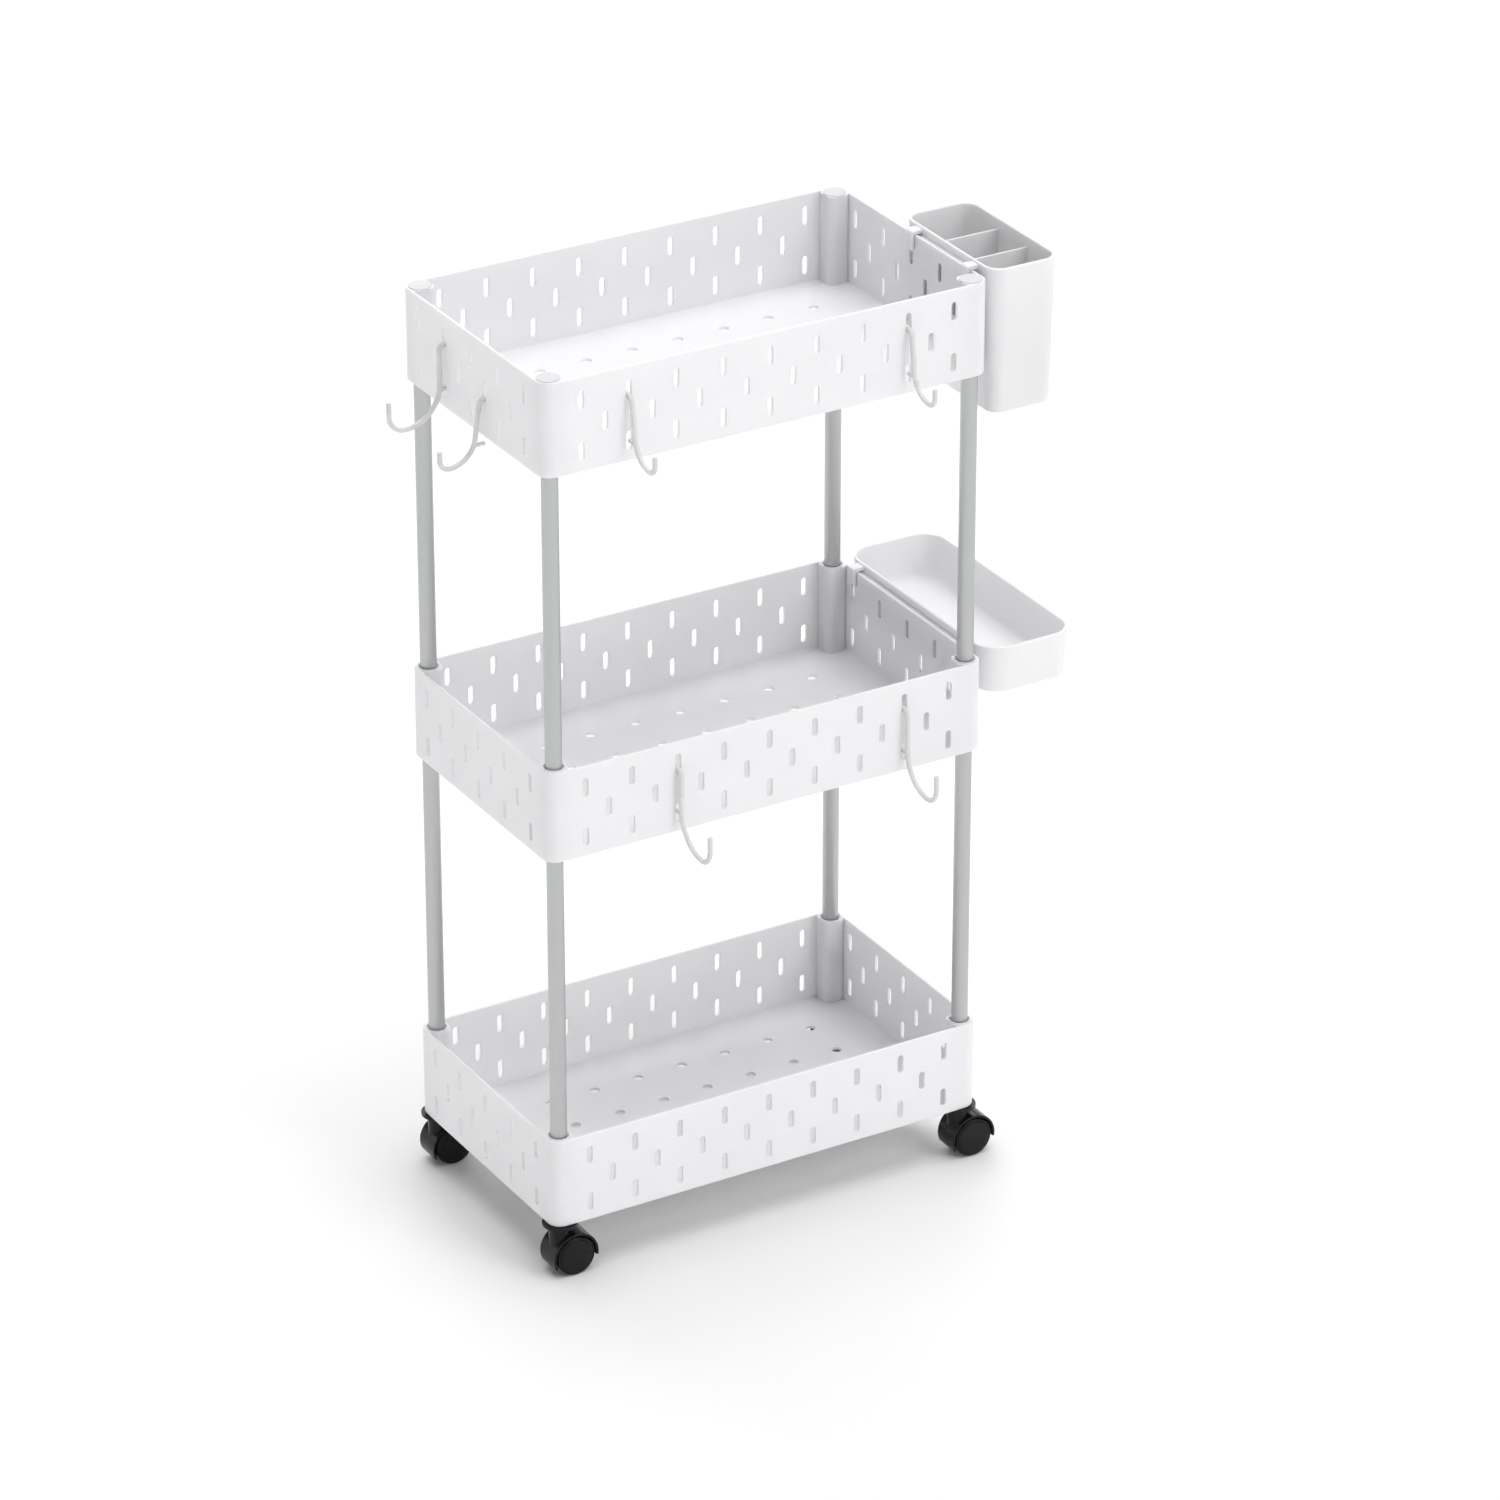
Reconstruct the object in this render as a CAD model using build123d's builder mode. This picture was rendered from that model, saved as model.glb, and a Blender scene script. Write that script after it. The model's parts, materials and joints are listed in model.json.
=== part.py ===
"""Rolling pantry cart: three slotted plastic trays on aluminium tubes, four twin-wheel
swivel casters, six wire hooks, a divided hanging cup and a hanging side tray.

Frame: millimetres, +X to the right along the long side, +Y to the back, +Z up. The origin is
the middle of the bottom tray's floor, on its top face.
"""
from build123d import *
import os
from math import cos, radians, sin

# Trays
TRAY_LENGTH = 384.0
TRAY_DEPTH = 220.0
TRAY_HEIGHT = 76.0
TRAY_WALL = 2.4
TRAY_FLOOR = 2.4
TRAY_EDGE_FILLET = 2.0
TRAY_RIM_FILLET = 0.8
TIER_PITCH = 317.0

# Slots in the tray walls: columns in the top, middle and bottom row
SLOT_WIDTH = 5.0
SLOT_HEIGHT = 15.5
SLOT_PITCH_LONG = 40.0
SLOT_PITCH_SHORT = 41.0
SLOT_COLUMNS_LONG = (9, 8, 9)
SLOT_COLUMNS_SHORT = (5, 4, 5)
SLOT_ROW_PITCH = 20.7
SLOT_TOP_DROP = 18.0
FLOOR_HOLE_RADIUS = 4.0

# Corner columns, tubes and caps
COLUMN_INSET = 11.0
COLUMN_WIDTH = 19.0
COLUMN_CORNER = 6.0
TUBE_RADIUS = 6.5
TUBE_WALL = 1.0
TUBE_SOCKET_DEPTH = 30.0
COLLAR_RADIUS = 9.2
COLLAR_BORE_RADIUS = 7.8
COLLAR_RISE = 0.8
COLLAR_DEPTH = 2.0
CAP_RADIUS = 9.0
CAP_HEAD = 0.6
CAP_PLUG_DEPTH = 12.0
CAP_PLUG_GAP = 1.0

# Casters
CASTER_HEIGHT = 45.0
CASTER_TRAIL = 8.0
PLATE_RADIUS = 14.0
PLATE_THICKNESS = 2.0
STEM_RADIUS = 4.0
STEM_SOCKET_DEPTH = 24.0
STEM_BELOW_PLATE = 8.0
WHEEL_RADIUS = 16.5
WHEEL_WIDTH = 9.0
WHEEL_FACE_RADIUS = 14.5
WHEEL_EDGE_FILLET = 1.2
WHEEL_BORE_DEPTH = 6.5
WEB_THICKNESS = 5.0
WEB_RADIUS = 13.0
WHEEL_SIDE_GAP = 0.6
HOOD_RADIUS = 19.5
HOOD_WALL = 1.8
HOOD_WIDTH = 23.0
HOOD_START_ANGLE = -10.0
HOOD_SWEEP = 215.0
BOSS_RADIUS = 9.0
SWIVEL_GAP = 0.3
AXLE_RADIUS = 2.0
RUNNING_CLEARANCE = 0.05

# Wire hooks
WIRE_RADIUS = 2.0
HOOK_ARM_INSIDE = 11.0
HOOK_BEND_RADIUS = 4.5
HOOK_PEG_DROP = 36.0
HOOK_PEG_LENGTH = 7.8
HOOK_PEG_RADIUS = 1.6
# tilt of the stem, stem length, outer curve radius, tip curve radius, straight tip length
LONG_HOOK = (0.0, 27.5, 30.0, 13.0, 12.0)
SHORT_HOOK = (8.0, 27.5, 22.0, 8.0, 7.0)

# Hanging cup and hanging side tray
HANG_GAP = 4.0
CLIP_WIDTH = 9.0
CLIP_THICKNESS = 3.2
CLIP_LEG = 12.0
CLIP_CLEARANCE = 0.3
CLIP_ROUNDING = 2.4
HANG_RIM_RISE = 5.0
HANG_RIM_FILLET = 1.2
LEDGE_DROP = 3.0
LEDGE_THICKNESS = 1.6
LEDGE_GAP = 0.6
LEDGE_ROOT = 1.4
CUP_SIZE = (62.0, 130.0, 120.0)
CUP_CORNER = 14.0
CUP_TAPER = 1.5
CUP_WALL = 2.8
CUP_CENTRE_Y = -41.0
CUP_CLIP_SPREAD = 80.0
CUP_DIVIDER = 1.6
CUP_DIVIDER_DROP = 8.0
SIDE_TRAY_SIZE = (84.0, 214.0, 40.0)
SIDE_TRAY_CORNER = 22.0
SIDE_TRAY_TAPER = 4.0
SIDE_TRAY_WALL = 2.8
SIDE_TRAY_INNER_FILLET = 6.0
SIDE_TRAY_CLIP_SPREAD = 160.0

TIERS = {"bottom": 0, "middle": 1, "top": 2}
COLUMN_X = TRAY_LENGTH / 2 - COLUMN_INSET
COLUMN_Y = TRAY_DEPTH / 2 - COLUMN_INSET
CORNERS = {
    "front_left": (-COLUMN_X, -COLUMN_Y),
    "front_right": (COLUMN_X, -COLUMN_Y),
    "back_left": (-COLUMN_X, COLUMN_Y),
    "back_right": (COLUMN_X, COLUMN_Y),
}
CASTER_TOP = -TRAY_FLOOR
GROUND = CASTER_TOP - CASTER_HEIGHT
AXLE_Z = GROUND + WHEEL_RADIUS


def tray_base(tier):
    """Height of a tray's underside."""
    return TIERS[tier] * TIER_PITCH - TRAY_FLOOR


def slot_height(tier, row):
    """Height of the middle of a slot row, row 0 being the top one."""
    return tray_base(tier) + TRAY_HEIGHT - SLOT_TOP_DROP - row * SLOT_ROW_PITCH


def write(part, label):
    """Name a finished piece and write it as its own STEP file."""
    part.label = label
    export_step(part, f"parts/{label}.step")


def cut_slots(plane, columns_per_row, pitch, tier, reach):
    """Cut the staggered slots through both walls that face along the plane's normal."""
    for row, columns in enumerate(columns_per_row):
        with BuildSketch(plane) as slots:
            with Locations((0, slot_height(tier, row))):
                with GridLocations(pitch, 1, columns, 1):
                    SlotOverall(SLOT_HEIGHT, SLOT_WIDTH, rotation=90)
        extrude(slots.sketch, amount=reach, both=True, mode=Mode.SUBTRACT)


def make_tray(tier):
    """One open tray with corner columns, slotted walls and a perforated floor."""
    base = tray_base(tier)
    rim = base + TRAY_HEIGHT
    upper_depth = CAP_PLUG_DEPTH + CAP_PLUG_GAP if tier == "top" else TUBE_SOCKET_DEPTH
    lower_radius = STEM_RADIUS if tier == "bottom" else TUBE_RADIUS
    lower_depth = STEM_SOCKET_DEPTH if tier == "bottom" else TUBE_SOCKET_DEPTH
    with BuildPart() as tray:
        with BuildSketch(Plane.XY.offset(base)):
            RectangleRounded(TRAY_LENGTH, TRAY_DEPTH, COLUMN_INSET)
        extrude(amount=TRAY_HEIGHT)
        fillet(faces().sort_by(Axis.Z)[0].edges(), TRAY_EDGE_FILLET)
        with BuildSketch(Plane.XY.offset(base + TRAY_FLOOR)):
            RectangleRounded(
                TRAY_LENGTH - 2 * TRAY_WALL,
                TRAY_DEPTH - 2 * TRAY_WALL,
                COLUMN_INSET - TRAY_WALL,
            )
        extrude(amount=TRAY_HEIGHT, mode=Mode.SUBTRACT)
        fillet(faces().sort_by(Axis.Z)[-1].edges(), TRAY_RIM_FILLET)
        with BuildSketch(Plane.XY.offset(base + TRAY_FLOOR / 2)):
            with GridLocations(2 * COLUMN_X, 2 * COLUMN_Y, 2, 2):
                RectangleRounded(COLUMN_WIDTH, COLUMN_WIDTH, COLUMN_CORNER)
        extrude(amount=TRAY_HEIGHT - TRAY_FLOOR / 2)
        if tier != "top":
            with BuildSketch(Plane.XY.offset(rim)):
                with GridLocations(2 * COLUMN_X, 2 * COLUMN_Y, 2, 2):
                    Circle(COLLAR_RADIUS)
            extrude(amount=COLLAR_RISE)
            with BuildSketch(Plane.XY.offset(rim + COLLAR_RISE)):
                with GridLocations(2 * COLUMN_X, 2 * COLUMN_Y, 2, 2):
                    Circle(COLLAR_BORE_RADIUS)
            extrude(amount=-COLLAR_DEPTH, mode=Mode.SUBTRACT)
        with BuildSketch(Plane.XY.offset(rim)):
            with GridLocations(2 * COLUMN_X, 2 * COLUMN_Y, 2, 2):
                Circle(TUBE_RADIUS)
        extrude(amount=-upper_depth, mode=Mode.SUBTRACT)
        with BuildSketch(Plane.XY.offset(base)):
            with GridLocations(2 * COLUMN_X, 2 * COLUMN_Y, 2, 2):
                Circle(lower_radius)
        extrude(amount=lower_depth, mode=Mode.SUBTRACT)
        with BuildSketch(Plane.XY.offset(base)):
            with GridLocations(
                SLOT_PITCH_LONG, SLOT_PITCH_SHORT, SLOT_COLUMNS_LONG[1], SLOT_COLUMNS_SHORT[1]
            ):
                Circle(FLOOR_HOLE_RADIUS)
        extrude(amount=TRAY_FLOOR, mode=Mode.SUBTRACT)
        cut_slots(Plane.XZ, SLOT_COLUMNS_LONG, SLOT_PITCH_LONG, tier, TRAY_DEPTH)
        cut_slots(Plane.YZ, SLOT_COLUMNS_SHORT, SLOT_PITCH_SHORT, tier, TRAY_LENGTH)
    write(tray.part, f"tray_{tier}")


def make_tube(lower_tier, corner):
    """One aluminium tube, held in the columns of the trays below and above it."""
    foot = tray_base(lower_tier) + TRAY_HEIGHT - TUBE_SOCKET_DEPTH
    length = TIER_PITCH - TRAY_HEIGHT + 2 * TUBE_SOCKET_DEPTH
    with BuildPart() as tube:
        with BuildSketch(Plane.XY.offset(foot)):
            with Locations(CORNERS[corner]):
                Circle(TUBE_RADIUS)
                Circle(TUBE_RADIUS - TUBE_WALL, mode=Mode.SUBTRACT)
        extrude(amount=length)
    level = "lower" if lower_tier == "bottom" else "upper"
    write(tube.part, f"tube_{level}_{corner}")


def make_cap(corner):
    """Round plug that closes the top of a corner column."""
    rim = tray_base("top") + TRAY_HEIGHT
    with BuildPart() as cap:
        with BuildSketch(Plane.XY.offset(rim)):
            with Locations(CORNERS[corner]):
                Circle(CAP_RADIUS)
        extrude(amount=CAP_HEAD)
        fillet(faces().sort_by(Axis.Z)[-1].edges(), CAP_HEAD / 2)
        with BuildSketch(Plane.XY.offset(rim)):
            with Locations(CORNERS[corner]):
                Circle(TUBE_RADIUS)
        extrude(amount=-CAP_PLUG_DEPTH)
    write(cap.part, f"cap_{corner}")


def make_caster_plate(corner):
    """Round plate between the tray's underside and the swivelling hood."""
    with BuildPart() as plate:
        with BuildSketch(Plane.XY.offset(CASTER_TOP)):
            with Locations(CORNERS[corner]):
                Circle(PLATE_RADIUS)
                Circle(STEM_RADIUS, mode=Mode.SUBTRACT)
        extrude(amount=-PLATE_THICKNESS)
    write(plate.part, f"caster_plate_{corner}")


def make_caster_stem(corner):
    """Steel stem, pressed into the tray's column, that the hood swivels on."""
    foot = CASTER_TOP - PLATE_THICKNESS - STEM_BELOW_PLATE
    with BuildPart() as stem:
        with BuildSketch(Plane.XY.offset(foot)):
            with Locations(CORNERS[corner]):
                Circle(STEM_RADIUS)
        extrude(amount=STEM_BELOW_PLATE + PLATE_THICKNESS + STEM_SOCKET_DEPTH)
        chamfer(faces().sort_by(Axis.Z)[-1].edges(), STEM_RADIUS / 5)
    write(stem.part, f"caster_stem_{corner}")


def make_caster_hood(corner):
    """Hood over both wheels, with the web between them and the swivel boss on top."""
    stem_x, stem_y = CORNERS[corner]
    wheel_plane = Plane(origin=(stem_x + CASTER_TRAIL, stem_y, AXLE_Z), x_dir=(1, 0, 0), z_dir=(0, -1, 0))
    boss_top = CASTER_TOP - PLATE_THICKNESS - SWIVEL_GAP
    end_angle = HOOD_START_ANGLE + HOOD_SWEEP
    start = (HOOD_RADIUS * cos(radians(HOOD_START_ANGLE)), HOOD_RADIUS * sin(radians(HOOD_START_ANGLE)))
    end = (HOOD_RADIUS * cos(radians(end_angle)), HOOD_RADIUS * sin(radians(end_angle)))
    well_radius = HOOD_RADIUS - HOOD_WALL
    well_depth = (HOOD_WIDTH - WEB_THICKNESS) / 2
    with BuildPart() as hood:
        with BuildSketch(wheel_plane):
            with BuildLine():
                Line((0, 0), start)
                CenterArc((0, 0), HOOD_RADIUS, HOOD_START_ANGLE, HOOD_SWEEP)
                Line(end, (0, 0))
            make_face()
        extrude(amount=HOOD_WIDTH / 2, both=True)
        with BuildSketch(Plane.XY.offset(boss_top)):
            with Locations(CORNERS[corner]):
                Circle(BOSS_RADIUS)
        extrude(amount=-(boss_top - AXLE_Z))
        for side in (-1, 1):
            with BuildSketch(wheel_plane.offset(side * WEB_THICKNESS / 2)):
                Circle(well_radius)
            extrude(amount=side * well_depth, mode=Mode.SUBTRACT)
        with BuildSketch(wheel_plane):
            Circle(WEB_RADIUS)
        extrude(amount=WEB_THICKNESS / 2, both=True)
        with BuildSketch(wheel_plane):
            Circle(AXLE_RADIUS)
        extrude(amount=WEB_THICKNESS, both=True, mode=Mode.SUBTRACT)
        with BuildSketch(Plane.XY.offset(boss_top)):
            with Locations(CORNERS[corner]):
                Circle(STEM_RADIUS + RUNNING_CLEARANCE)
        extrude(amount=-(STEM_BELOW_PLATE - SWIVEL_GAP + RUNNING_CLEARANCE), mode=Mode.SUBTRACT)
    write(hood.part, f"caster_hood_{corner}")


def make_caster_axle(corner):
    """Steel axle held in the hood's web, with a wheel running on each end."""
    stem_x, stem_y = CORNERS[corner]
    reach = WEB_THICKNESS / 2 + WHEEL_SIDE_GAP + WHEEL_BORE_DEPTH - SWIVEL_GAP
    axle_plane = Plane(origin=(stem_x + CASTER_TRAIL, stem_y, AXLE_Z), x_dir=(1, 0, 0), z_dir=(0, -1, 0))
    with BuildPart() as axle:
        with BuildSketch(axle_plane):
            Circle(AXLE_RADIUS)
        extrude(amount=reach, both=True)
    write(axle.part, f"caster_axle_{corner}")


def make_caster_wheel(corner, side_name, side):
    """One wheel of the twin pair: rounded tread, raised outer face, blind bore. The side is
    -1 for the wheel in front of the web and 1 for the one behind it."""
    stem_x, stem_y = CORNERS[corner]
    inner_y = stem_y + side * (WEB_THICKNESS / 2 + WHEEL_SIDE_GAP)
    inner_plane = Plane(origin=(stem_x + CASTER_TRAIL, inner_y, AXLE_Z), x_dir=(1, 0, 0), z_dir=(0, side, 0))
    tread_width = WHEEL_WIDTH - WHEEL_SIDE_GAP
    with BuildPart() as wheel:
        with BuildSketch(inner_plane):
            Circle(WHEEL_RADIUS)
        extrude(amount=tread_width)
        fillet(edges().filter_by(GeomType.CIRCLE), WHEEL_EDGE_FILLET)
        with BuildSketch(inner_plane.offset(tread_width)):
            Circle(WHEEL_FACE_RADIUS)
        extrude(amount=WHEEL_SIDE_GAP)
        with BuildSketch(inner_plane):
            Circle(AXLE_RADIUS + RUNNING_CLEARANCE)
        extrude(amount=WHEEL_BORE_DEPTH, mode=Mode.SUBTRACT)
    write(wheel.part, f"caster_wheel_{corner}_{side_name}")


def make_hook(label, wall_plane, shape):
    """One bent wire hook. The plane's x axis points out of the wall, its y axis up, and its
    origin is where the arm's centre line meets the wall's outer face."""
    tilt, stem_length, curve_radius, tip_radius, tip_length = shape
    peg_y = -HOOK_PEG_DROP
    with BuildPart() as hook:
        with BuildLine(wall_plane) as wire:
            arm = Line((-HOOK_ARM_INSIDE, 0), (0, 0))
            bend = JernArc(arm @ 1, arm % 1, HOOK_BEND_RADIUS, tilt - 90)
            stem = PolarLine(bend @ 1, stem_length, direction=bend % 1)
            curve = JernArc(stem @ 1, stem % 1, curve_radius, 90 - tilt)
            turn = JernArc(curve @ 1, curve % 1, tip_radius, 90)
            PolarLine(turn @ 1, tip_length, direction=turn % 1)
        with BuildSketch(Plane(origin=wire.wire() @ 0, z_dir=wire.wire() % 0)):
            Circle(WIRE_RADIUS)
        sweep(path=wire.wire())
        tips = edges().filter_by(GeomType.CIRCLE).sort_by(wire.wire())
        fillet([tips[0], tips[-1]], WIRE_RADIUS / 3)
        stem_offset = wall_plane.to_local_coords(stem @ 1).X
        peg_plane = Plane(
            origin=wall_plane.from_local_coords((stem_offset, peg_y, 0)),
            x_dir=wall_plane.y_dir,
            z_dir=-wall_plane.x_dir,
        )
        with BuildSketch(peg_plane):
            Circle(HOOK_PEG_RADIUS)
        extrude(amount=HOOK_PEG_LENGTH)
    write(hook.part, label)


def front_plane(tier, row, offset_x):
    """Hook plane on the front wall."""
    arm_z = slot_height(tier, row) - (SLOT_HEIGHT - SLOT_WIDTH) / 2
    return Plane(origin=(offset_x, -TRAY_DEPTH / 2, arm_z), x_dir=(0, -1, 0), z_dir=(-1, 0, 0))


def left_plane(tier, row, offset_y):
    """Hook plane on the left wall."""
    arm_z = slot_height(tier, row) - (SLOT_HEIGHT - SLOT_WIDTH) / 2
    return Plane(origin=(-TRAY_LENGTH / 2, offset_y, arm_z), x_dir=(-1, 0, 0), z_dir=(0, 1, 0))


def add_clips(rim, wall_x, centre_y, spread):
    """Two clips that reach over the tray's right wall from a hanging piece."""
    inner_x = TRAY_LENGTH / 2 - TRAY_WALL - CLIP_CLEARANCE - CLIP_THICKNESS
    arm_length = wall_x + CLIP_THICKNESS / 2 - inner_x
    for side in (-1, 1):
        front_y = centre_y + side * spread / 2 + CLIP_WIDTH / 2
        with BuildSketch(Plane.XZ.offset(-front_y)) as profile:
            with Locations((inner_x, rim + CLIP_CLEARANCE)):
                Rectangle(arm_length, CLIP_THICKNESS, align=(Align.MIN, Align.MIN))
                Rectangle(CLIP_THICKNESS, CLIP_LEG, align=(Align.MIN, Align.MAX))
            outer_corner = profile.vertices().sort_by(Axis.X)[0:2].sort_by(Axis.Z)[-1]
            fillet(outer_corner, CLIP_ROUNDING)
        extrude(profile.sketch, amount=CLIP_WIDTH)


def add_ledge(rim, wall_x, centre_y, spread):
    """Narrow rib on the hanging piece's wall, between its two clips."""
    inner_x = TRAY_LENGTH / 2 + LEDGE_GAP
    with BuildSketch(Plane.XY.offset(rim - LEDGE_DROP)) as ledge:
        with Locations((inner_x, centre_y)):
            Rectangle(wall_x + LEDGE_ROOT - inner_x, spread, align=(Align.MIN, Align.CENTER))
    extrude(ledge.sketch, amount=LEDGE_THICKNESS)


def hanging_shell(centre, size, corner, taper, wall, rim):
    """Outside and inside of a tapered open box with rounded corners, as two solids."""
    width, length, height = size
    with BuildPart() as outside:
        with BuildSketch(Plane.XY.offset(rim)):
            with Locations(centre):
                RectangleRounded(width, length, corner)
        extrude(amount=-height, taper=taper)
        fillet(faces().sort_by(Axis.Z)[0].edges(), wall)
    with BuildPart() as inside:
        with BuildSketch(Plane.XY.offset(rim)):
            with Locations(centre):
                RectangleRounded(width - 2 * wall, length - 2 * wall, corner - wall)
        extrude(amount=wall - height, taper=taper)
    return outside, inside


def make_cup():
    """Hanging cup with three compartments."""
    width, length, height = CUP_SIZE
    tray_rim = tray_base("top") + TRAY_HEIGHT
    cup_rim = tray_rim + HANG_RIM_RISE
    wall_x = TRAY_LENGTH / 2 + HANG_GAP
    centre = (wall_x + width / 2, CUP_CENTRE_Y)
    compartment_pitch = (length - 2 * CUP_WALL) / 3
    outside, inside = hanging_shell(centre, CUP_SIZE, CUP_CORNER, CUP_TAPER, CUP_WALL, cup_rim)
    with BuildPart() as compartments:
        add(inside.part)
        with BuildSketch(Plane.XY.offset(cup_rim - CUP_DIVIDER_DROP)):
            with Locations(centre):
                with GridLocations(1, compartment_pitch, 1, 2):
                    Rectangle(width, CUP_DIVIDER)
        extrude(amount=-height, mode=Mode.SUBTRACT)
    with BuildPart() as cup:
        add(outside.part)
        add(compartments.part, mode=Mode.SUBTRACT)
        fillet(faces().sort_by(Axis.Z)[-1].edges(), HANG_RIM_FILLET)
        add_clips(tray_rim, wall_x, CUP_CENTRE_Y, CUP_CLIP_SPREAD)
        add_ledge(tray_rim, wall_x, CUP_CENTRE_Y, CUP_CLIP_SPREAD)
    write(cup.part, "storage_cup")


def make_side_tray():
    """Shallow hanging tray on the middle tier."""
    tray_rim = tray_base("middle") + TRAY_HEIGHT
    wall_x = TRAY_LENGTH / 2 + HANG_GAP
    centre = (wall_x + SIDE_TRAY_SIZE[0] / 2, 0)
    outside, inside = hanging_shell(
        centre,
        SIDE_TRAY_SIZE,
        SIDE_TRAY_CORNER,
        SIDE_TRAY_TAPER,
        SIDE_TRAY_WALL,
        tray_rim + HANG_RIM_RISE,
    )
    with BuildPart() as hollow:
        add(inside.part)
        fillet(faces().sort_by(Axis.Z)[0].edges(), SIDE_TRAY_INNER_FILLET)
    with BuildPart() as side_tray:
        add(outside.part)
        add(hollow.part, mode=Mode.SUBTRACT)
        fillet(faces().sort_by(Axis.Z)[-1].edges(), HANG_RIM_FILLET)
        add_clips(tray_rim, wall_x, 0, SIDE_TRAY_CLIP_SPREAD)
        add_ledge(tray_rim, wall_x, 0, SIDE_TRAY_CLIP_SPREAD)
    write(side_tray.part, "side_tray")


os.makedirs("parts", exist_ok=True)
for tier_name in TIERS:
    make_tray(tier_name)
for corner_name in CORNERS:
    make_tube("bottom", corner_name)
    make_tube("middle", corner_name)
    make_cap(corner_name)
    make_caster_plate(corner_name)
    make_caster_stem(corner_name)
    make_caster_hood(corner_name)
    make_caster_axle(corner_name)
    make_caster_wheel(corner_name, "a", -1)
    make_caster_wheel(corner_name, "b", 1)
make_hook("hook_front_top_left", front_plane("top", 0, -3 * SLOT_PITCH_LONG), SHORT_HOOK)
make_hook("hook_front_top_right", front_plane("top", 0, 3 * SLOT_PITCH_LONG), SHORT_HOOK)
make_hook("hook_front_middle_left", front_plane("middle", 0, -2 * SLOT_PITCH_LONG), LONG_HOOK)
make_hook("hook_front_middle_right", front_plane("middle", 0, 3 * SLOT_PITCH_LONG), LONG_HOOK)
make_hook("hook_side_back", left_plane("top", 0, SLOT_PITCH_SHORT), LONG_HOOK)
make_hook("hook_side_front", left_plane("top", 1, -SLOT_PITCH_SHORT / 2), SHORT_HOOK)
make_cup()
make_side_tray()
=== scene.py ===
"""Looks of the rolling pantry cart: materials, finer pieces, light and camera, in metres."""

import json
import math

import bmesh
import bpy
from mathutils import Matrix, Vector


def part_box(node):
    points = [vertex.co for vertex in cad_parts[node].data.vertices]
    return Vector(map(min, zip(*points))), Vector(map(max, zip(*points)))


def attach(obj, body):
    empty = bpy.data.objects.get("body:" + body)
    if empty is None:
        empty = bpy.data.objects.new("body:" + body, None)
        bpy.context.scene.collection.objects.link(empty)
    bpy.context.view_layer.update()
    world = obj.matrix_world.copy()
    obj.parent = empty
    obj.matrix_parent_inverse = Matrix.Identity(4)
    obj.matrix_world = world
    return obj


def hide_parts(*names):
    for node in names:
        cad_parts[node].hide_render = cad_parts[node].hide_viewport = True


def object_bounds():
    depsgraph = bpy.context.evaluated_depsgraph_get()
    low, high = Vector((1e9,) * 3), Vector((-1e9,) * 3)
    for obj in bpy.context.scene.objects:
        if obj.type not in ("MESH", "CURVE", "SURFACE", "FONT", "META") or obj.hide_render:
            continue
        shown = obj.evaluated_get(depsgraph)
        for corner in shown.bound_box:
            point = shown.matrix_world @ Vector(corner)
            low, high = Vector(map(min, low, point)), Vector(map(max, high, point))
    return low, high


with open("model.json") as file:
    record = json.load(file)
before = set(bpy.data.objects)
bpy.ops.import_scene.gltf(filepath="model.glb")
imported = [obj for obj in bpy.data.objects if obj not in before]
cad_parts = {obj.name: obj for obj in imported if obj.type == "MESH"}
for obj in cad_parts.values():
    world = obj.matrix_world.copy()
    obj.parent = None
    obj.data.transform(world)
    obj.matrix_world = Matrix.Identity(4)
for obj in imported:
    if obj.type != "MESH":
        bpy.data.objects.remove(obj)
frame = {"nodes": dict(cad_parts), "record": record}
cad_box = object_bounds()
nodes = frame["nodes"]

CORNERS = ("front_left", "front_right", "back_left", "back_right")
MM_PER_M = 1000


# ---------------------------------------------------------------- materials

# The part of a noise over which a colour ramp, and a range of numbers, goes from low to high
RAMP_SPAN = (0.35, 0.65)
RANGE_SPAN = (0.3, 0.7)
BEVEL_SAMPLES = 4
ROUNDED_EDGE_RADIUS = 0.0005
# Edges and creases get their own colour: partly edge wear, partly a painted highlight along rims, and
# a painted shade on the hook wire
EDGE_WEAR_AND_LIGHT_RADIUS = 0.0006
EDGE_WEAR_AND_LIGHT_SHARE = 0.6
# How alike the true and rounded normals are where the edge colour (edge wear with painted highlight or
# painted shade) begins, and where it is full
EDGE_WEAR_AND_LIGHT_SPAN = (1.0, 0.75)
PLASTIC_IOR = 1.49
SATIN_SPREAD = 0.06
SCATTER_RADIUS = (1.0, 0.95, 0.9)
SCATTER_SCALE = 0.006

def new_material(name):
    """A new node material, its node tree and its Principled shader."""
    material = bpy.data.materials.new(name)
    material.use_nodes = True
    tree = material.node_tree
    shader = tree.nodes["Principled BSDF"]
    return material, tree, shader


def add_node(tree, kind, inputs=None, **settings):
    """A new node with its settings and unlinked input values."""
    node = tree.nodes.new(kind)
    for key, value in settings.items():
        setattr(node, key, value)
    for key, value in (inputs or {}).items():
        node.inputs[key].default_value = value
    return node


def object_noise(tree, scale, detail=2.0, stretch=(1, 1, 1)):
    """Noise over the object, its grain stretched along an axis where asked."""
    coordinates = add_node(tree, "ShaderNodeTexCoord")
    mapping = add_node(tree, "ShaderNodeMapping", {"Scale": stretch})
    noise = add_node(tree, "ShaderNodeTexNoise", {"Scale": scale, "Detail": detail})
    tree.links.new(coordinates.outputs["Object"], mapping.inputs["Vector"])
    tree.links.new(mapping.outputs["Vector"], noise.inputs["Vector"])
    return noise.outputs["Fac"]


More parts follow.
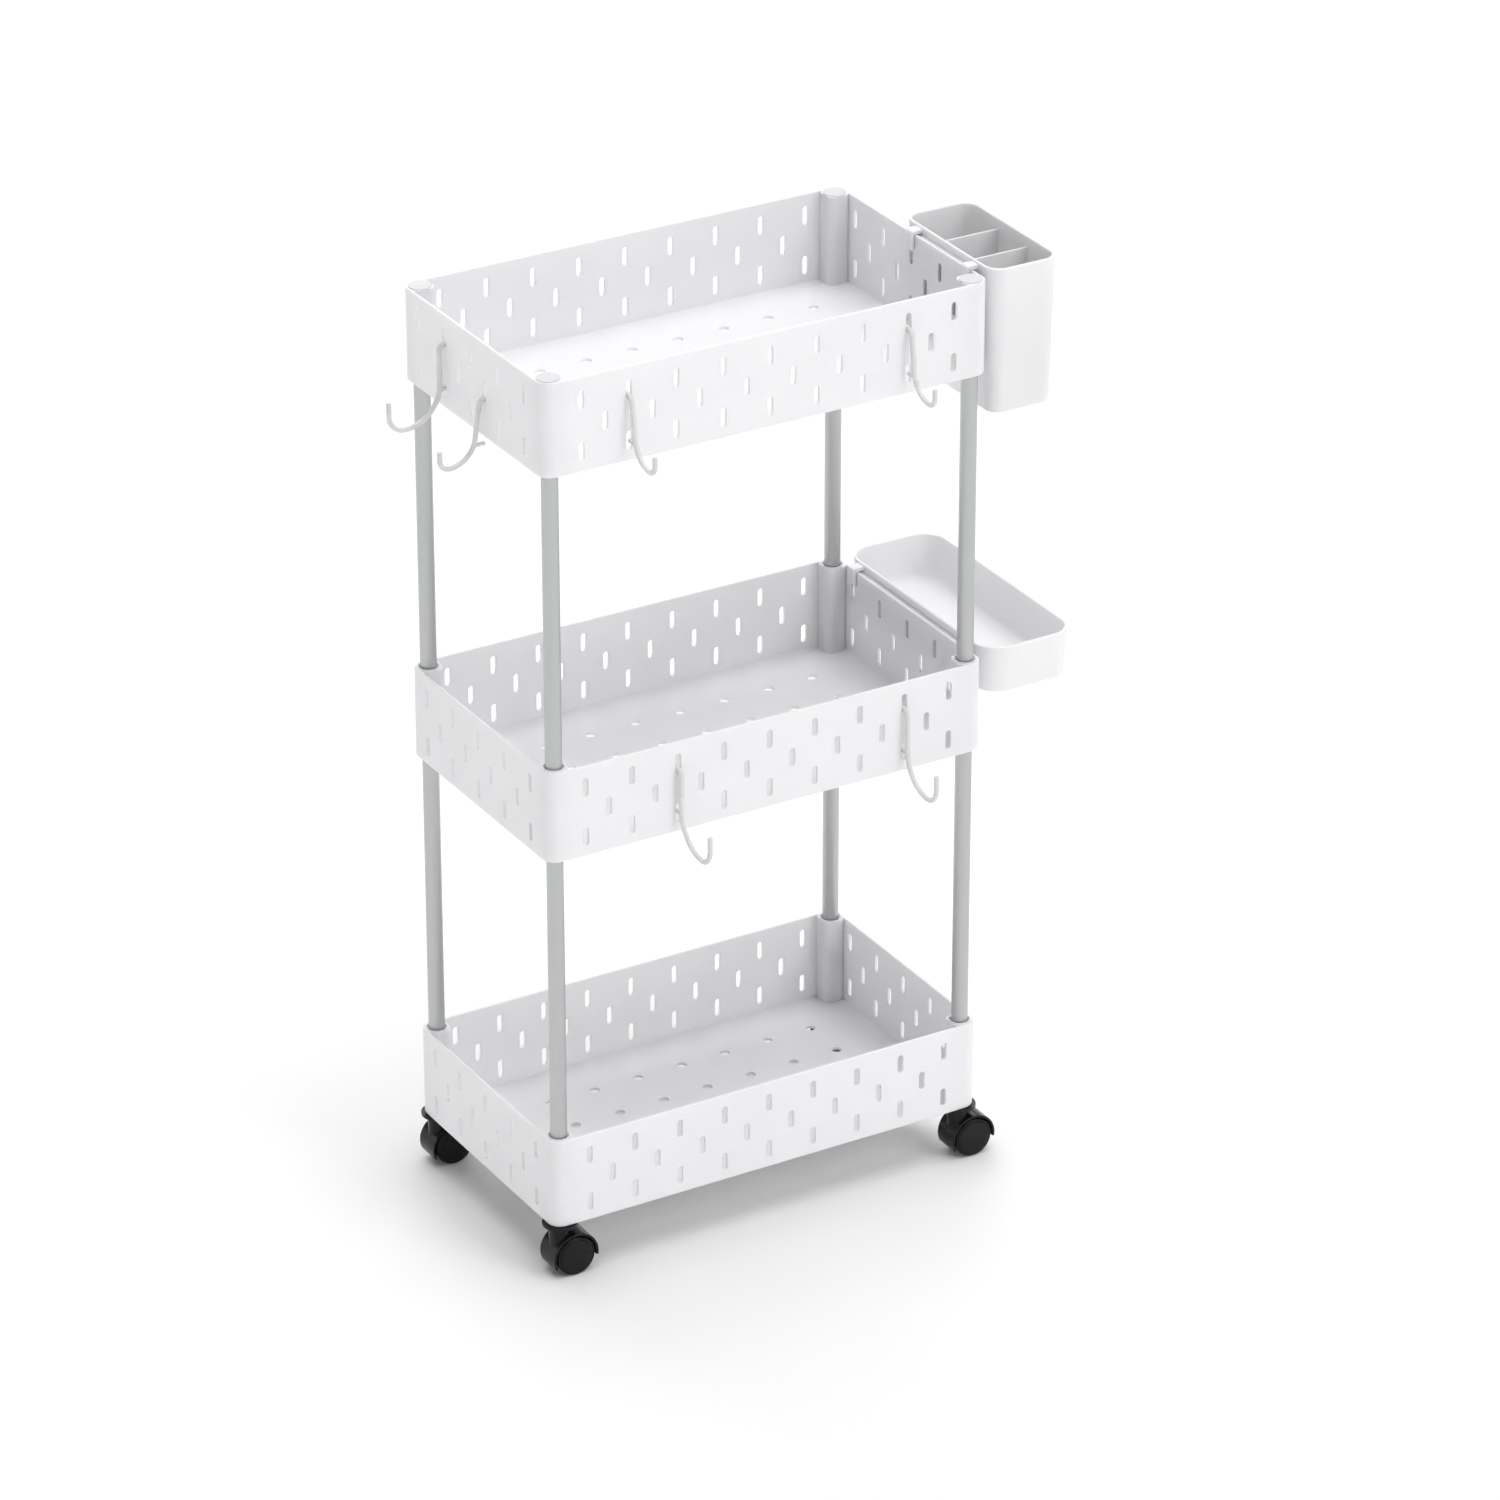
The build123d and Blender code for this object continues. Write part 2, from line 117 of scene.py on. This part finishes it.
def ramp_between(tree, factor, low, high):
    """Colours low to high as factor goes over the ramp's span."""
    ramp = add_node(tree, "ShaderNodeValToRGB")
    ramp.color_ramp.elements[0].position = RAMP_SPAN[0]
    ramp.color_ramp.elements[1].position = RAMP_SPAN[1]
    ramp.color_ramp.elements[0].color = (*low, 1)
    ramp.color_ramp.elements[1].color = (*high, 1)
    tree.links.new(factor, ramp.inputs["Fac"])
    return ramp.outputs["Color"]


def range_between(tree, factor, low, high):
    """A number from low to high as factor goes over the range's span."""
    start, end = RANGE_SPAN
    span = add_node(
        tree,
        "ShaderNodeMapRange",
        {"From Min": start, "From Max": end, "To Min": low, "To Max": high},
    )
    tree.links.new(factor, span.inputs["Value"])
    return span.outputs["Result"]


def rounded_normal(tree, radius):
    """The surface's normal as if its edges were rounded to a radius."""
    rounded = add_node(tree, "ShaderNodeBevel", {"Radius": radius}, samples=BEVEL_SAMPLES)
    return rounded.outputs["Normal"]


def add_bump(tree, shader, factor, strength, distance):
    """A bump on the shader from a height, over softly rounded edges."""
    rounded = rounded_normal(tree, ROUNDED_EDGE_RADIUS)
    bump = add_node(tree, "ShaderNodeBump", {"Strength": strength, "Distance": distance})
    tree.links.new(rounded, bump.inputs["Normal"])
    tree.links.new(factor, bump.inputs["Height"])
    tree.links.new(bump.outputs["Normal"], shader.inputs["Normal"])


def edge_wear_and_painted_light(tree, colour, edge_wear_and_light_colour):
    """The colour, going over to the edge colour where the surface turns a corner or a crease; a
    lighter edge colour is edge wear with a painted highlight, a darker one is painted shade.
    """
    rounded = rounded_normal(tree, EDGE_WEAR_AND_LIGHT_RADIUS)
    geometry = add_node(tree, "ShaderNodeNewGeometry")
    likeness = add_node(tree, "ShaderNodeVectorMath", operation="DOT_PRODUCT")
    tree.links.new(rounded, likeness.inputs[0])
    tree.links.new(geometry.outputs["Normal"], likeness.inputs[1])
    start, end = EDGE_WEAR_AND_LIGHT_SPAN
    # Mask of corners and creases, where the painted edge highlight or shade, together with wear, is
    # blended in
    wear_and_light_mask = add_node(
        tree,
        "ShaderNodeMapRange",
        {"From Min": start, "From Max": end, "To Min": 0.0, "To Max": EDGE_WEAR_AND_LIGHT_SHARE},
    )
    tree.links.new(likeness.outputs["Value"], wear_and_light_mask.inputs["Value"])
    blend = add_node(tree, "ShaderNodeMixRGB", {"Color2": (*edge_wear_and_light_colour, 1)})
    tree.links.new(wear_and_light_mask.outputs["Result"], blend.inputs["Fac"])
    tree.links.new(colour, blend.inputs["Color1"])
    return blend.outputs["Color"]


def moulded_plastic(name, low, high, edge_wear_and_light_colour, roughness, depth=0.00004, scatter=0.0, specular=0.5):
    """Injection-moulded plastic: faint tone drift, fine grain, uneven satin, and lighter edges that
    are partly wear and partly a painted highlight.
    """
    material, tree, shader = new_material(name)
    tone = object_noise(tree, scale=9, detail=3)
    # Lighter edges and creases: partly edge wear, partly a painted highlight
    colour = edge_wear_and_painted_light(tree, ramp_between(tree, tone, low, high), edge_wear_and_light_colour)
    tree.links.new(colour, shader.inputs["Base Color"])
    satin = object_noise(tree, scale=60, detail=4)
    tree.links.new(
        range_between(tree, satin, roughness - SATIN_SPREAD, roughness + SATIN_SPREAD),
        shader.inputs["Roughness"],
    )
    grain = object_noise(tree, scale=900, detail=3)
    add_bump(tree, shader, grain, strength=0.25, distance=depth)
    shader.inputs["IOR"].default_value = PLASTIC_IOR
    shader.inputs["Specular IOR Level"].default_value = specular
    if scatter:
        shader.inputs["Subsurface Weight"].default_value = scatter
        shader.inputs["Subsurface Radius"].default_value = SCATTER_RADIUS
        shader.inputs["Subsurface Scale"].default_value = SCATTER_SCALE
    return material


def satin_aluminium(name):
    """Anodised aluminium tube with very faint drawing lines along its length."""
    material, tree, shader = new_material(name)
    lines = object_noise(tree, scale=1400, detail=2, stretch=(1, 1, 0.01))
    tone = ramp_between(tree, lines, (0.49, 0.50, 0.50), (0.51, 0.52, 0.52))
    # Lighter tube edges: partly edge wear, partly a painted highlight
    tree.links.new(edge_wear_and_painted_light(tree, tone, (0.7, 0.7, 0.7)), shader.inputs["Base Color"])
    tree.links.new(range_between(tree, lines, 0.36, 0.42), shader.inputs["Roughness"])
    add_bump(tree, shader, lines, strength=0.04, distance=0.00001)
    shader.inputs["Metallic"].default_value = 0.85
    return material


def coated_wire(name):
    """White plastic-coated steel wire."""
    material, tree, shader = new_material(name)
    tone = object_noise(tree, scale=40, detail=3)
    coat = ramp_between(tree, tone, (0.69, 0.69, 0.69), (0.73, 0.73, 0.73))
    # Darker edges and bends of the wire: painted shade, with some edge wear
    tree.links.new(edge_wear_and_painted_light(tree, coat, (0.6, 0.6, 0.6)), shader.inputs["Base Color"])
    tree.links.new(range_between(tree, tone, 0.22, 0.32), shader.inputs["Roughness"])
    grain = object_noise(tree, scale=500, detail=2)
    add_bump(tree, shader, grain, strength=0.1, distance=0.00005)
    shader.inputs["Coat Weight"].default_value = 0.3
    shader.inputs["Coat Roughness"].default_value = 0.15
    return material


def zinc_steel(name):
    """Zinc-plated steel of the caster's stem and axle."""
    material, tree, shader = new_material(name)
    spangle = object_noise(tree, scale=220, detail=5)
    plating = ramp_between(tree, spangle, (0.42, 0.42, 0.43), (0.60, 0.60, 0.62))
    # Lighter edges of the stem and axle: partly edge wear, partly a painted highlight
    tree.links.new(edge_wear_and_painted_light(tree, plating, (0.7, 0.7, 0.7)), shader.inputs["Base Color"])
    tree.links.new(range_between(tree, spangle, 0.25, 0.45), shader.inputs["Roughness"])
    add_bump(tree, shader, spangle, strength=0.1, distance=0.00003)
    shader.inputs["Metallic"].default_value = 1.0
    return material


MATERIALS = {
    # The lighter edge colours below are partly edge wear, partly a painted highlight on rims and edges
    "tray_plastic": moulded_plastic(
        "tray_plastic",
        low=(0.835, 0.83, 0.85), high=(0.86, 0.855, 0.875), edge_wear_and_light_colour=(0.90, 0.90, 0.91),
        roughness=0.38, scatter=0.5,
    ),
    "accessory_plastic": moulded_plastic(
        "accessory_plastic",
        low=(0.84, 0.835, 0.85), high=(0.865, 0.86, 0.875), edge_wear_and_light_colour=(0.90, 0.90, 0.91),
        roughness=0.34, scatter=0.5,
    ),
    "cap_plastic": moulded_plastic(
        "cap_plastic",
        low=(0.62, 0.62, 0.64), high=(0.66, 0.66, 0.68), edge_wear_and_light_colour=(0.76, 0.76, 0.77),
        roughness=0.38,
    ),
    "tube_aluminium": satin_aluminium("tube_aluminium"),
    "hook_wire": coated_wire("hook_wire"),
    "caster_plastic": moulded_plastic(
        "caster_plastic",
        low=(0.005, 0.005, 0.006), high=(0.009, 0.009, 0.010), edge_wear_and_light_colour=(0.035, 0.035, 0.035),
        roughness=0.22, depth=0.00002, specular=0.22,
    ),
    "caster_steel": zinc_steel("caster_steel"),
}
SLOT_OF = {row["node"]: row["material_slot"] for row in frame["record"]["subparts"]}


def paint(piece, slot):
    """Give a piece the finish of one of the record's material slots."""
    piece.data.materials.clear()
    piece.data.materials.append(MATERIALS[slot])


for node_name, node_object in nodes.items():
    paint(node_object, SLOT_OF[node_name])


# ---------------------------------------------------------------- turned caster wheels

WHEEL_STEPS = 96
# Radius as a share of the tread's, then distance in from the outer face in mm
WHEEL_OUTSIDE = (
    (0.70, 0.0),
    (0.80, 0.04),
    (0.84, 0.16),
    (0.858, 0.45),
    (0.866, 0.95),
    (0.886, 0.95),
    (0.896, 0.45),
    (0.915, 0.28),
    (0.945, 0.42),
    (0.970, 0.85),
    (0.988, 1.45),
    (1.0, 2.3),
)
TREAD_INNER_EDGE = 1.2
BORE_SHARE = 0.126
BORE_DEPTH_SHARE = 0.72
WHEEL_SMOOTH_ANGLE = 50


def wheel_profile(radius, width):
    """Radius and distance from the inner face, from the middle of the outer face to the bore's end."""
    outside = [(0.0, width)]
    outside += [(share * radius, width - depth / MM_PER_M) for share, depth in WHEEL_OUTSIDE]
    edge = TREAD_INNER_EDGE / MM_PER_M
    shoulder = [
        (radius - edge * (1 - math.cos(angle)), edge * (1 - math.sin(angle)))
        for angle in (0, math.pi / 6, math.pi / 3, math.pi / 2)
    ]
    bore = BORE_SHARE * radius
    inside = [(bore, 0.0), (bore, BORE_DEPTH_SHARE * width), (0.0, BORE_DEPTH_SHARE * width)]
    return outside + shoulder + inside


def join_rings(mesh, first, second):
    """Faces from one ring of points to the next; a ring of one point closes the middle."""
    for step in range(WHEEL_STEPS):
        after = (step + 1) % WHEEL_STEPS
        if len(first) == 1:
            mesh.faces.new((first[0], second[step], second[after]))
        elif len(second) == 1:
            mesh.faces.new((first[step], second[0], first[after]))
        else:
            mesh.faces.new((first[step], second[step], second[after], first[after]))


def make_wheel(node_name, body, outwards):
    """A turned wheel on its axis along Y; outwards is -1 or 1, the way its face looks."""
    low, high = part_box(node_name)
    centre_x, centre_z = (low.x + high.x) / 2, (low.z + high.z) / 2
    inner_y = high.y if outwards < 0 else low.y
    profile = wheel_profile((high.x - low.x) / 2, high.y - low.y)
    mesh = bmesh.new()
    rings = []
    turn = [2 * math.pi * step / WHEEL_STEPS for step in range(WHEEL_STEPS)]
    for radius, depth in profile:
        y = inner_y + outwards * depth
        if radius == 0:
            rings.append([mesh.verts.new((centre_x, y, centre_z))])
            continue
        rings.append([
            mesh.verts.new((centre_x + radius * math.cos(a), y, centre_z + radius * math.sin(a)))
            for a in turn
        ])
    for first, second in zip(rings, rings[1:]):
        join_rings(mesh, first, second)
    bmesh.ops.recalc_face_normals(mesh, faces=mesh.faces)
    data = bpy.data.meshes.new(f"turned_{node_name}")
    mesh.to_mesh(data)
    mesh.free()
    data.shade_smooth()
    data.set_sharp_from_angle(angle=math.radians(WHEEL_SMOOTH_ANGLE))
    wheel = bpy.data.objects.new(f"turned_{node_name}", data)
    bpy.context.scene.collection.objects.link(wheel)
    paint(wheel, "caster_plastic")
    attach(wheel, body)
    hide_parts(node_name)


for corner in CORNERS:
    make_wheel(f"caster_wheel_{corner}_a", f"wheel_{corner}_a", -1)
    make_wheel(f"caster_wheel_{corner}_b", f"wheel_{corner}_b", 1)


# ---------------------------------------------------------------- stage, light and camera

STAGE_WHITE = (0.93, 0.93, 0.93)
STAGE_DIMMEST = 0.985
STAGE_ROUGHNESS = 0.8
FLOOR_SIZE = 40
BACKDROP_RADIUS = 19
BACKDROP_HEIGHT = 4
BACKDROP_SIDES = 128
BACKDROP_GLOW = 0.3

# Name, strength, where it stands from the cart's middle, and the angle it spreads over in degrees
SUNS = (
    ("overhead", 1.9, (0.25, -0.1, 3.0), 55),
    ("key", 0.62, (0.8, -1.6, 1.25), 28),
    ("back", 1.0, (0.5, 1.6, 1.1), 50),
)
SOFT_BOX_POWER = 3
SOFT_BOX_POSITION = (1.7, -2.4, 1.5)
SOFT_BOX_SIZE = 1.4
SURROUND_STRENGTH = 0.24

CAMERA_AZIMUTH = -30.44
CAMERA_ELEVATION = 26.84
CAMERA_DISTANCE = 5.411
CAMERA_TARGET = (0.0321, -0.0258, 0.3182)
CAMERA_SENSOR = 36
CAMERA_LENS = 168


def stage_material(name):
    """Pale, matt and faintly uneven material of the floor and backdrop, and its shader."""
    material, tree, shader = new_material(name)
    drift = object_noise(tree, scale=3, detail=2)
    dim = tuple(channel * STAGE_DIMMEST for channel in STAGE_WHITE)
    tree.links.new(ramp_between(tree, drift, dim, STAGE_WHITE), shader.inputs["Base Color"])
    shader.inputs["Roughness"].default_value = STAGE_ROUGHNESS
    return material, shader


def make_floor():
    """A wide pale floor under the wheels."""
    bpy.ops.mesh.primitive_plane_add(size=FLOOR_SIZE, location=(0, 0, cad_box[0].z))
    floor = bpy.context.object
    floor.name = "floor"
    floor.data.materials.append(stage_material("floor_white")[0])


def make_backdrop():
    """A low pale wall far around the floor, for views from near its level."""
    bpy.ops.mesh.primitive_cylinder_add(
        vertices=BACKDROP_SIDES,
        radius=BACKDROP_RADIUS,
        depth=BACKDROP_HEIGHT,
        end_fill_type="NOTHING",
        location=(0, 0, cad_box[0].z + BACKDROP_HEIGHT / 2),
    )
    backdrop = bpy.context.object
    backdrop.name = "backdrop"
    material, shader = stage_material("backdrop_white")
    shader.inputs["Emission Color"].default_value = (1, 1, 1, 1)
    shader.inputs["Emission Strength"].default_value = BACKDROP_GLOW
    backdrop.data.materials.append(material)


def aim_light(name, kind, energy, position, target):
    """A light at position that points at target; its data, for the rest of its settings."""
    data = bpy.data.lights.new(name, kind)
    data.energy = energy
    light = bpy.data.objects.new(name, data)
    light.location = position
    light.rotation_euler = (Vector(target) - Vector(position)).to_track_quat("-Z", "Y").to_euler()
    bpy.context.scene.collection.objects.link(light)
    return data


def make_lights():
    """Soft light from above, the front right and behind, and a dim surround."""
    middle = (cad_box[0] + cad_box[1]) / 2
    for name, strength, position, spread in SUNS:
        sun = aim_light(name, "SUN", strength, middle + Vector(position), middle)
        sun.angle = math.radians(spread)
    soft_box = aim_light("soft_box", "AREA", SOFT_BOX_POWER, SOFT_BOX_POSITION, middle)
    soft_box.size = SOFT_BOX_SIZE
    world = bpy.data.worlds.new("surround")
    world.use_nodes = True
    background = world.node_tree.nodes["Background"]
    background.inputs["Color"].default_value = (1, 1, 1, 1)
    background.inputs["Strength"].default_value = SURROUND_STRENGTH
    bpy.context.scene.world = world


def make_camera():
    """A long lens from the front left, looking down."""
    azimuth, elevation = math.radians(CAMERA_AZIMUTH), math.radians(CAMERA_ELEVATION)
    target = Vector(CAMERA_TARGET)
    away = Vector((
        math.sin(azimuth) * math.cos(elevation),
        -math.cos(azimuth) * math.cos(elevation),
        math.sin(elevation),
    ))
    data = bpy.data.cameras.new("camera")
    data.sensor_width = CAMERA_SENSOR
    data.lens = CAMERA_LENS
    camera = bpy.data.objects.new("camera", data)
    camera.location = target + away * CAMERA_DISTANCE
    camera.rotation_euler = (-away).to_track_quat("-Z", "Y").to_euler()
    bpy.context.scene.collection.objects.link(camera)
    bpy.context.scene.camera = camera


make_floor()
make_backdrop()
make_lights()
make_camera()
bpy.context.scene.view_settings.view_transform = "Standard"
